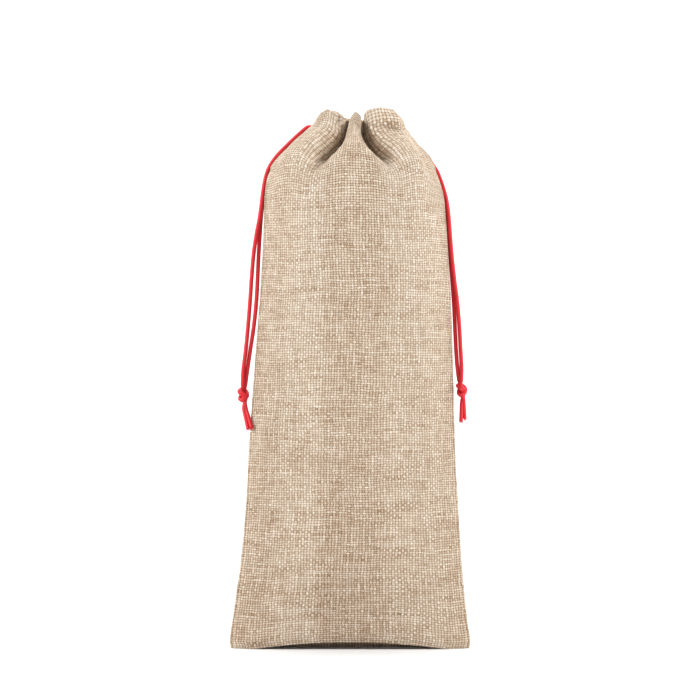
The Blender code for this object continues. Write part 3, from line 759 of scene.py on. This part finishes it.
def burlap_sack(finish):
    """The sack: the cloth's skin, thickened inwards, and a little more at the hem."""
    cloth = cloth_skin(finish)
    hem = cloth.vertex_groups.new(name="hem")
    for vertex in cloth.data.vertices:
        hem.add([vertex.index], smooth((vertex.co.z - HEM_FROM) / HEM_TURN), "REPLACE")
    thicken = cloth.modifiers.new("cloth thickness", "SOLIDIFY")
    thicken.thickness = HEM_THICK
    thicken.offset = -1
    thicken.vertex_group = hem.name
    thicken.thickness_vertex_group = CLOTH_THICK / HEM_THICK
    rounded = cloth.modifiers.new("rounded rim", "BEVEL")
    rounded.width = HEM_THICK * RIM_ROUNDNESS
    rounded.segments = RIM_STEPS
    rounded.angle_limit = RIM_ANGLE
    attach(cloth, "root")
    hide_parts("sack")


# ================================================================ cords
def turning_frames(points):
    """At each point of a run, the way along it and two ways across it, with no sudden turn."""
    count = len(points)
    along = [(points[min(i + 1, count - 1)] - points[max(i - 1, 0)]).normalized() for i in range(count)]
    side = along[0].orthogonal().normalized()
    made = []
    for way in along:
        side = (side - way * side.dot(way)).normalized()
        made.append((way, side, way.cross(side)))
    return made


def add_tube(shape, lay, points, radius, sides, braided=False):
    """A closed round tube along these points. radius is a number, or a function of the share
    along it. A braided one is raised where its yarns cross over. lay is the map of the
    surface: the share round it, and millimetres along it."""
    frames = turning_frames(points)
    rings, lengths = [], [0.0]
    for a, b in zip(points, points[1:]):
        lengths.append(lengths[-1] + (b - a).length)
    for i, (point, (_way, side, up)) in enumerate(zip(points, frames)):
        wide = radius(i / (len(points) - 1)) if callable(radius) else radius
        ring = []
        for k in range(sides):
            angle = 2 * math.pi * k / sides
            turn = math.pi * lengths[i] / MM / BRAID_PICK
            left, right = BRAID_YARNS / 2 * angle + turn, BRAID_YARNS / 2 * angle - turn
            crossing = (math.sin(left) * math.sin(right)) ** 2
            lift = BRAID_RELIEF * (1 - 2 * crossing) if braided else 0
            out = side * math.cos(angle) + up * math.sin(angle)
            ring.append(shape.verts.new(point + out * (wide + lift)))
        rings.append(ring)
    for i in range(len(rings) - 1):
        for k in range(sides):
            after = (k + 1) % sides
            corners = (rings[i][k], rings[i][after], rings[i + 1][after], rings[i + 1][k])
            face = shape.faces.new(corners)
            places = ((k, i), (k + 1, i), (k + 1, i + 1), (k, i + 1))
            for loop, (round_it, along_it) in zip(face.loops, places):
                loop[lay].uv = (round_it / sides, lengths[along_it] / MM)
    shape.faces.new(list(reversed(rings[0])))
    shape.faces.new(rings[-1])


def cord_object(name, shape, finish):
    made = object_from(name, shape, finish)
    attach(made, "root")
    return made


def drawcord_strand(name, finish):
    """One hanging strand of a drawcord, from its slit to its knot."""
    points = route(STRANDS[name], STRAND_STEP)
    shape = bmesh.new()
    lay = shape.loops.layers.uv.new("braid")
    add_tube(shape, lay, points, CORD_RADIUS, CORD_SIDES, braided=True)
    made = cord_object(f"{name}_braid", shape, finish)
    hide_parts(name)
    return made, points


def knot_paths(strands, middle, turn, ends):
    """The two strands' own ways through the knot, side by side, and down into their tails."""
    middle = Vector(middle)
    upright = Matrix.Rotation(turn, 3, "Z")
    turned = [middle + upright @ Vector(point) for point in KNOT_ROUTE]
    core = evenly(through(turned, ROUTE_STEPS), STRAND_STEP)
    frames = turning_frames(core)
    paths = []
    for number, (name, end) in enumerate(zip(strands, ends)):
        sign = 1 if number else -1
        last = Vector(STRANDS[name][-1])
        beside = []
        for point, (way, _side, _up) in zip(core, frames):
            across = way.cross(point - middle)
            beside.append(point + across.normalized() * sign * KNOT_STRANDS_APART / 2)
        beside = beside[::KNOT_ROUNDS]
        soft = [beside[0]]
        for a, b, c in zip(beside, beside[1:], beside[2:]):
            soft.append((a + b * 2 + c) / 4)
        foot = core[-1] + TAIL_DROP + Vector((sign * CORD_RADIUS / 2, 0, 0))
        end = Vector(end)
        whole = [last, last.lerp(soft[1], 0.5), *soft[2:], foot, foot.lerp(end, 0.5), end]
        paths.append(evenly(through(whole, TIE_STEPS), STRAND_STEP))
    return paths


def add_fray(shape, lay, end, way, seed):
    """The loose yarns at a tail's cut end, which spread and bend each its own way."""
    rng = random.Random(seed)
    across = way.orthogonal().normalized()
    for _ in range(FRAY_YARNS):
        angle, out = rng.uniform(0, 2 * math.pi), math.sqrt(rng.random())
        lean = Matrix.Rotation(angle, 3, way) @ across
        length = rng.uniform(*FRAY_LENGTHS)
        root = end - way * FRAY_ROOT + lean * out * CORD_RADIUS * FRAY_FILLS
        tip = root + way * length + lean * out * rng.uniform(*FRAY_SPREADS)
        bend = root.lerp(tip, 0.5) + way * FRAY_BEND_ON - lean * FRAY_BEND_IN
        points = through([root, bend, tip], FRAY_STEPS)
        add_tube(shape, lay, points, lambda share: FRAY_RADIUS * (FRAY_TAPER - share), FRAY_SIDES)


def tied_knot(row, finish):
    """An overhand knot in a doubled drawcord, with its two frayed tails."""
    name, node, strands, middle, turn, ends = row
    shape = bmesh.new()
    lay = shape.loops.layers.uv.new("braid")
    for number, path in enumerate(knot_paths(strands, middle, turn, ends)):

        def radius(share):
            out_of_knot = smooth((share - KNOT_ENDS_AT[number]) * KNOT_WIDENS)
            return mix(KNOT_STRAND_RADIUS, CORD_RADIUS * TAIL_THICKNESS, out_of_knot)

        add_tube(shape, lay, path, radius, CORD_SIDES, braided=True)
        add_fray(shape, lay, path[-1], (path[-1] - path[-4]).normalized(), name + str(number))
    made = cord_object(name, shape, finish)
    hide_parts(node)
    return made


def drawcords(finish):
    strands = {name: drawcord_strand(name, finish) for name in STRANDS}
    for row in KNOTS:
        knot = tied_knot(row, finish)


# ================================================================ materials
def linear(code):
    """A colour's linear values, from its sRGB hex code."""
    shares = [int(code[i : i + 2], 16) / 255 for i in (1, 3, 5)]
    return tuple(
        share / 12.92 if share <= 0.04045 else ((share + 0.055) / 1.055) ** 2.4 for share in shares
    )


def add(tree, kind, inputs=(), **settings):
    """Adds one node to the tree with these settings. inputs gives each socket, by name or
    number, a value or what it is linked to."""
    node = tree.nodes.new("ShaderNode" + kind)
    for name, value in settings.items():
        setattr(node, name, value)
    for socket, value in dict(inputs).items():
        if isinstance(value, bpy.types.Node):
            value = value.outputs[0]
        if isinstance(value, bpy.types.NodeSocket):
            tree.links.new(value, node.inputs[socket])
        else:
            node.inputs[socket].default_value = value
    return node


def new_material(name):
    made = bpy.data.materials.new(name)
    made.use_nodes = True
    tree = made.node_tree
    return made, tree, tree.nodes["Principled BSDF"]


def set_surface(surface, values):
    """Gives each named socket of the shader its value, or its colour from an sRGB hex code."""
    for name, value in values.items():
        value = (*linear(value), 1) if isinstance(value, str) else value
        surface.inputs[name].default_value = value


def set_ramp(node, stops):
    """Sets a colour ramp's stops: where each lies, and its sRGB hex code."""
    ramp = node.color_ramp
    while len(ramp.elements) > 1:
        ramp.elements.remove(ramp.elements[-1])
    for number, (place, code) in enumerate(stops):
        stop = ramp.elements[0] if number == 0 else ramp.elements.new(place)
        stop.position = place
        stop.color = (*linear(code), 1)


HALF = (0.5, 0.5, 0.5)  # the mean of a noise
SWAY = (2.0, 2.5, 0)  # mm, how far the threads sway, all together
SWAY_NOISE = {"Scale": 0.03, "Detail": 1.0}
JOSTLE = (0.4, 0.4, 0)  # of a pitch, how far each one strays by itself
JOSTLE_NOISE = {"Scale": 0.5, "Detail": 0.0}
YARNS = [
    # the way across them, the way along them, their noise's seed, how a crossing lifts them
    (0, 1, 3.7, 0.44),
    (1, 0, 41.3, -0.44),
]
YARN_MIDDLE = 0.56  # how high a yarn lies where it crosses neither over nor under
YARN_CHANGES = 0.07  # how soon a yarn's tone and thickness change along it
YARN_NOISE = {"Scale": 1.37, "Detail": 3.0, "Roughness": 0.65}
YARN_THICKNESS = {1: 0.3, 2: 0.7, 3: 0.72, 4: 1.02}  # from this noise to these shares of a pitch
STRIPE_THICKENS, STRIPE_PALES = 0.18, 0.26
WARP_TONE, WEFT_TONE = (1.7, -0.47), (1.8, -0.50)  # the noise's contrast, and its shift
LOWER_PAINTED_SHADE = {1: 40.0, 2: 220.0, 3: -0.07, 4: 0.0}  # painted shade, darker towards the bottom: from these mm up the cloth to these shifts
FIBRE_NOISE = {"Scale": 3.1, "Detail": 3.0, "Roughness": 0.7}
FLECK, FIBRE, FIBRE_RISE = 0.2, 0.36, 0.2
TONE_SPAN = {1: 0.10, 2: 1.38, 3: 0.0, 4: 1.0}  # from these tones to the colours' two ends
BROAD_STRIPES = [
    # where across the panel, and how thick and pale the yarns that run up are there
    (0.00, "#808080"),
    (0.16, "#707070"),
    (0.22, "#d8d8d8"),
    (0.34, "#d8d8d8"),
    (0.40, "#404040"),
    (0.60, "#404040"),
    (0.66, "#d0d0d0"),
    (0.86, "#d0d0d0"),
    (0.93, "#808080"),
]
YARN_COLOURS = [
    (0.00, "#8f745c"),
    (0.25, "#b39e88"),
    (0.50, "#cebfad"),
    (0.75, "#e2d8cb"),
    (1.00, "#f1ece4"),
]
WEAVE_PAINTED_SHADE = [
    # the weave's painted shade: how high the yarn stands there, and what that leaves of its colour,
    # darkest in the gaps and on the yarns' sides
    (0.00, "#7c6450"),
    (0.32, "#a8937e"),
    (0.55, "#e2dad0"),
    (0.80, "#ffffff"),
]
YARN_BUMP = {"Strength": 0.8, "Distance": 0.0004}
BURLAP_SURFACE = {
    "Roughness": 0.88,
    "Specular IOR Level": 0.25,
    "Sheen Weight": 0.15,
    "Sheen Roughness": 0.6,
    "Sheen Tint": "#f2e4d0",
}


def strayed_threads(tree):
    """Where a place lies on the cloth in mm, once the threads sway a little, and counted in
    threads, once each is also nearer to one neighbour, now to this one and now to that."""
    flat = add(tree, "UVMap", uv_map="threads")
    sway = add(tree, "TexNoise", {"Vector": flat, **SWAY_NOISE}, noise_dimensions="2D")
    shift = add(tree, "VectorMath", {0: sway.outputs["Color"], 1: HALF}, operation="SUBTRACT")
    strayed = add(tree, "VectorMath", {0: shift, 1: SWAY, 2: flat}, operation="MULTIPLY_ADD")
    pitch = (1 / WARP_PITCH, 1 / WEFT_PITCH, 0)
    counted = add(tree, "VectorMath", {0: strayed, 1: pitch}, operation="MULTIPLY")
    jostle = add(tree, "TexNoise", {"Vector": counted, **JOSTLE_NOISE}, noise_dimensions="2D")
    shift = add(tree, "VectorMath", {0: jostle.outputs["Color"], 1: HALF}, operation="SUBTRACT")
    counted = add(tree, "VectorMath", {0: shift, 1: JOSTLE, 2: counted}, operation="MULTIPLY_ADD")
    return strayed, counted


def yarn_family(tree, row, parts, over, stripe):
    """The yarns that run one way: their tone, and how high they stand."""
    mine, other, seed, lift = row
    number, place, run = parts
    # each yarn has a tone and a thickness of its own, which change slowly along it
    slow = add(tree, "Math", {0: run.outputs[other], 1: YARN_CHANGES}, operation="MULTIPLY")
    spot = add(tree, "CombineXYZ", {0: number.outputs[mine], 1: slow, 2: seed})
    own = add(tree, "TexNoise", {"Vector": spot, **YARN_NOISE})
    own_apart = add(tree, "SeparateColor", {0: own.outputs["Color"]})
    thick = add(tree, "MapRange", {0: own_apart.outputs[1], **YARN_THICKNESS})
    thick = add(tree, "Math", {0: stripe, 1: STRIPE_THICKENS, 2: thick}, operation="MULTIPLY_ADD")
    # a yarn is round across: the root of 1 less 4 times the square of its way off the middle
    centred = add(tree, "Math", {0: place.outputs[mine], 1: 0.5}, operation="SUBTRACT")
    narrow = add(tree, "Math", {0: centred, 1: thick}, operation="DIVIDE")
    square = add(tree, "Math", {0: narrow, 1: narrow}, operation="MULTIPLY")
    bulge = add(tree, "Math", {0: square, 1: -4.0, 2: 1.0}, operation="MULTIPLY_ADD", use_clamp=True)
    yarn_round = add(tree, "Math", {0: bulge, 1: 0.5}, operation="POWER")
    raised = add(tree, "Math", {0: over, 1: lift, 2: YARN_MIDDLE}, operation="MULTIPLY_ADD")
    return own.outputs[0], add(tree, "Math", {0: yarn_round, 1: raised}, operation="MULTIPLY")


def woven_burlap():
    """Burlap, woven plain from uneven yarns: each shows as it passes over the other, pale
    ones and browner ones run on for a while as lines, and painted shade darkens the
    gaps between them and each yarn's sides.
    The yarns are spun from dull fibre, so the cloth is matt with a faint bloom."""
    made, tree, surface = new_material("woven_burlap")
    strayed, counted = strayed_threads(tree)
    cell = add(tree, "VectorMath", {0: counted}, operation="FLOOR")
    inside = add(tree, "VectorMath", {0: counted}, operation="FRACTION")
    parts = [add(tree, "SeparateXYZ", {0: vector}) for vector in (cell, inside, counted)]
    run = parts[-1]
    # broad stripes where the yarns that run up are thicker and paler
    where = add(tree, "SeparateXYZ", {0: strayed})
    width = PANEL_WIDTH / MM
    panel = add(tree, "Math", {0: where.outputs[0], 1: width}, operation="FLOORED_MODULO")
    share = add(tree, "Math", {0: panel, 1: width}, operation="DIVIDE")
    stripe = add(tree, "ValToRGB", {0: share})
    set_ramp(stripe, BROAD_STRIPES)
    # which of the two is on top: it changes at each crossing, as on a chequer board
    waves = []
    for way in (0, 1):
        turn = add(tree, "Math", {0: run.outputs[way], 1: math.pi}, operation="MULTIPLY")
        waves.append(add(tree, "Math", {0: turn}, operation="SINE"))
    over = add(tree, "Math", {0: waves[0], 1: waves[1]}, operation="MULTIPLY")
    families = [yarn_family(tree, row, parts, over, stripe) for row in YARNS]
    (warp_own, warp_top), (weft_own, weft_top) = families
    height = add(tree, "Math", {0: warp_top, 1: weft_top}, operation="MAXIMUM")
    weft_over = add(tree, "Math", {0: weft_top, 1: warp_top}, operation="GREATER_THAN")
    # painted shade: the lower part of the cloth is a shade darker and browner
    lower = add(tree, "MapRange", {0: where.outputs[1], **LOWER_PAINTED_SHADE})
    contrast, shift = WARP_TONE
    warp = add(tree, "Math", {0: warp_own, 1: contrast, 2: shift}, operation="MULTIPLY_ADD")
    warp = add(tree, "Math", {0: stripe, 1: STRIPE_PALES, 2: warp}, operation="MULTIPLY_ADD")
    contrast, shift = WEFT_TONE
    weft = add(tree, "Math", {0: weft_own, 1: contrast, 2: shift}, operation="MULTIPLY_ADD")
    tone = add(tree, "Mix", {0: weft_over, 2: warp, 3: weft}, data_type="FLOAT")
    tone = add(tree, "Math", {0: tone, 1: lower}, operation="ADD")
    # fibres, drawn as coarse as the picture can show, and flecks from crossing to crossing
    scatter = add(tree, "TexWhiteNoise", {"Vector": cell}, noise_dimensions="2D")
    fibre = add(tree, "TexNoise", {"Vector": counted, **FIBRE_NOISE})
    flecked = add(tree, "Math", {0: scatter.outputs[0], 1: FLECK, 2: tone}, operation="MULTIPLY_ADD")
    streaked = add(tree, "Math", {0: fibre, 1: FIBRE, 2: flecked}, operation="MULTIPLY_ADD")
    spread = add(tree, "MapRange", {0: streaked, **TONE_SPAN})
    yarn_colour = add(tree, "ValToRGB", {0: spread})
    set_ramp(yarn_colour, YARN_COLOURS)
    # painted shade of the weave: the lower a yarn lies, the darker its colour
    depth = add(tree, "ValToRGB", {0: height})
    set_ramp(depth, WEAVE_PAINTED_SHADE)
    # the yarns' colour, multiplied by the weave's painted shade
    both = {0: 1.0, 6: yarn_colour.outputs[0], 7: depth.outputs[0]}
    colour = add(tree, "Mix", both, data_type="RGBA", blend_type="MULTIPLY")
    tree.links.new(colour.outputs[2], surface.inputs["Base Color"])
    rise = add(tree, "Math", {0: fibre, 1: FIBRE_RISE, 2: height}, operation="MULTIPLY_ADD")
    bump = add(tree, "Bump", {"Height": rise, **YARN_BUMP})
    tree.links.new(bump.outputs[0], surface.inputs["Normal"])
    set_surface(surface, BURLAP_SURFACE)
    return made


CORD_NOISE = {"Scale": 9.0, "Detail": 2.0}
CORD_FLECK = 0.35
CORD_COLOURS_AND_CREVICE_SHADE = [(0.0, "#ea2630"), (0.45, "#d20e20"), (1.0, "#a80016")]  # from raised to sunk, with painted shade darkening the red where the yarns sink
CORD_SURFACE = {
    "Roughness": 0.5,
    "Sheen Weight": 0.12,
    "Sheen Roughness": 0.4,
    "Sheen Tint": "#ff8080",
}


def braided_red_cord():
    """Cord braided from bright red polyester yarn: dense, a little glossy, with small raised
    crossings, and painted shade that darkens the red between them."""
    made, tree, surface = new_material("braided_red_cord")
    lay = add(tree, "UVMap", uv_map="braid")
    place = add(tree, "SeparateXYZ", {0: lay})
    turn = add(tree, "Math", {0: place.outputs[1], 1: math.pi / BRAID_PICK}, operation="MULTIPLY")
    waves = []
    for way in (1.0, -1.0):
        leaning = add(tree, "Math", {0: turn, 1: way}, operation="MULTIPLY")
        turns = {0: place.outputs[0], 1: math.pi * BRAID_YARNS, 2: leaning}
        phase = add(tree, "Math", turns, operation="MULTIPLY_ADD")
        waves.append(add(tree, "Math", {0: phase}, operation="SINE"))
    crossing = add(tree, "Math", {0: waves[0], 1: waves[1]}, operation="MULTIPLY")
    # painted shade: where the braid's yarns sink between crossings, the red is darker
    sunk = add(tree, "Math", {0: crossing, 1: crossing}, operation="MULTIPLY")
    fleck = add(tree, "TexNoise", {"Vector": lay, **CORD_NOISE})
    mixed = add(tree, "Math", {0: fleck, 1: CORD_FLECK, 2: sunk}, operation="MULTIPLY_ADD")
    colour = add(tree, "ValToRGB", {0: mixed})
    set_ramp(colour, CORD_COLOURS_AND_CREVICE_SHADE)
    tree.links.new(colour.outputs[0], surface.inputs["Base Color"])
    set_surface(surface, CORD_SURFACE)
    return made


PAPER_GRAIN = {"Scale": 900.0, "Detail": 2.0}
PAPER_COLOURS = [(0.0, "#e2e2e2"), (1.0, "#e6e6e6")]


def matt_white_paper():
    """The studio's floor and back, one sweep of matt white paper."""
    made, tree, surface = new_material("matt_white_paper")
    grain = add(tree, "TexNoise", PAPER_GRAIN)
    tint = add(tree, "ValToRGB", {0: grain})
    set_ramp(tint, PAPER_COLOURS)
    tree.links.new(tint.outputs[0], surface.inputs["Base Color"])
    set_surface(surface, {"Roughness": 0.9})
    return made


# ================================================================ studio
SWEEP_REACH = 3.0  # the paper's half width, its reach in front, and its height
SWEEP_BENDS_AT, SWEEP_BEND, SWEEP_STEPS = 1.2, 0.8, 12
ROOM_STRENGTH = 0.38
SOFTBOXES = [
    # name, place, what it is aimed at, width and height, watts
    ("left_softbox", (-1.45, -0.85, 1.05), (0, 0, 0.3), (0.5, 0.9), 27),
    ("right_softbox", (1.45, -0.85, 1.05), (0, 0, 0.3), (0.5, 0.9), 27),
    ("top_softbox", (0, 0.65, 1.65), (0, 0, 0.1), (1.1, 0.8), 22),
    ("left_backdrop_light", (-1.4, 0.8, 0.9), (0, 2.0, 0.4), (0.4, 0.8), 16),
    ("right_backdrop_light", (1.4, 0.8, 0.9), (0, 2.0, 0.4), (0.4, 0.8), 16),
]


def camera():
    glass = bpy.data.cameras.new("studio_camera")
    glass.sensor_width = SENSOR
    glass.lens = SENSOR * EYE_DISTANCE / VIEW_WIDTH
    made = into_scene("studio_camera", glass)
    made.location = (0, -EYE_DISTANCE, EYE_HEIGHT)
    made.rotation_euler = (math.pi / 2, 0, 0)
    bpy.context.scene.camera = made


def paper_sweep(finish):
    """A floor that curves up behind the sack into a back wall."""
    profile = [(-SWEEP_REACH, 0.0), (SWEEP_BENDS_AT, 0.0)]
    for step in range(1, SWEEP_STEPS + 1):
        angle = math.pi / 2 * step / SWEEP_STEPS
        back = SWEEP_BENDS_AT + SWEEP_BEND * math.sin(angle)
        profile.append((back, SWEEP_BEND * (1 - math.cos(angle))))
    profile.append((SWEEP_BENDS_AT + SWEEP_BEND, SWEEP_REACH))
    shape = bmesh.new()
    rows = []
    for y, z in profile:
        rows.append([shape.verts.new((x, y, z)) for x in (-SWEEP_REACH, SWEEP_REACH)])
    for a, b in zip(rows, rows[1:]):
        shape.faces.new((a[0], a[1], b[1], b[0]))
    object_from("paper_sweep", shape, finish)


def softbox(name, place, aim, size, watts):
    light = bpy.data.lights.new(name, "AREA")
    light.shape = "RECTANGLE"
    light.size, light.size_y = size
    light.energy = watts
    made = into_scene(name, light)
    made.location = place
    made.rotation_euler = (Vector(aim) - Vector(place)).to_track_quat("-Z", "Y").to_euler()


def studio_light():
    world = bpy.data.worlds.new("white_room")
    world.use_nodes = True
    sky = world.node_tree.nodes["Background"]
    sky.inputs["Color"].default_value = (1, 1, 1, 1)
    sky.inputs["Strength"].default_value = ROOM_STRENGTH
    bpy.context.scene.world = world
    for row in SOFTBOXES:
        softbox(*row)


def build():
    camera()
    drawcords(braided_red_cord())
    burlap_sack(woven_burlap())
    paper_sweep(matt_white_paper())
    studio_light()
    bpy.context.scene.view_settings.view_transform = "Standard"


build()
